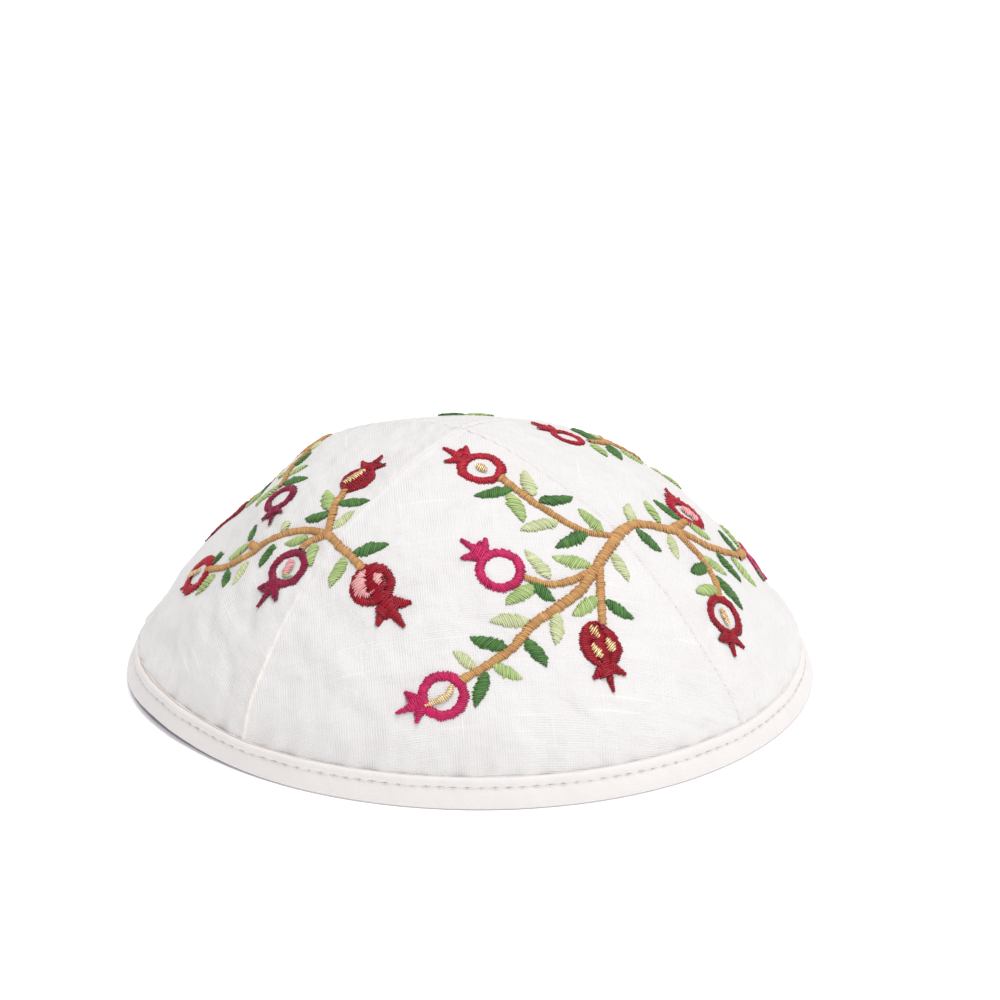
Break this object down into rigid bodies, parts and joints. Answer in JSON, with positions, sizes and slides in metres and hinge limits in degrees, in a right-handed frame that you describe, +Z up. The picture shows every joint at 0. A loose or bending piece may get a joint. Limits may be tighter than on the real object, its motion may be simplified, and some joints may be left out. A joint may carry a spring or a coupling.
{
  "type": "embroidered kippah",
  "caption": "Domed skullcap of four sewn cloth panels with an edge binding and satin-stitched pomegranate branches.",
  "frame": {"origin": "middle of the rim, on the surface that the rim stands on", "axes": "+Z up through the crown, -Y towards the front that the picture shows, +X to its right"},
  "size_m": [0.1692, 0.1628, 0.061],
  "materials": {
    "white_silk": "slubbed white silk, plain weave, soft sheen",
    "cream_tape": "cream cotton sateen, matt",
    "sewing_thread": "spun cotton thread, matt",
    "stem_thread": "rayon embroidery thread, ochre, satin sheen",
    "dark_leaf_thread": "rayon embroidery thread, dark green, satin sheen",
    "mid_leaf_thread": "rayon embroidery thread, leaf green, satin sheen",
    "pale_leaf_thread": "rayon embroidery thread, pale green, satin sheen",
    "crimson_thread": "rayon embroidery thread, crimson, satin sheen",
    "dark_red_thread": "rayon embroidery thread, dark red, satin sheen",
    "magenta_thread": "rayon embroidery thread, magenta, satin sheen",
    "gold_thread": "metallic gold embroidery thread",
    "pink_thread": "rayon embroidery thread, pink, satin sheen"
  },
  "bodies": {
    "root": {"crown_panel_front": "white_silk", "crown_panel_right": "white_silk", "crown_panel_back": "white_silk", "crown_panel_left": "white_silk", "rim_binding": "cream_tape"}
  },
  "joints": []
}
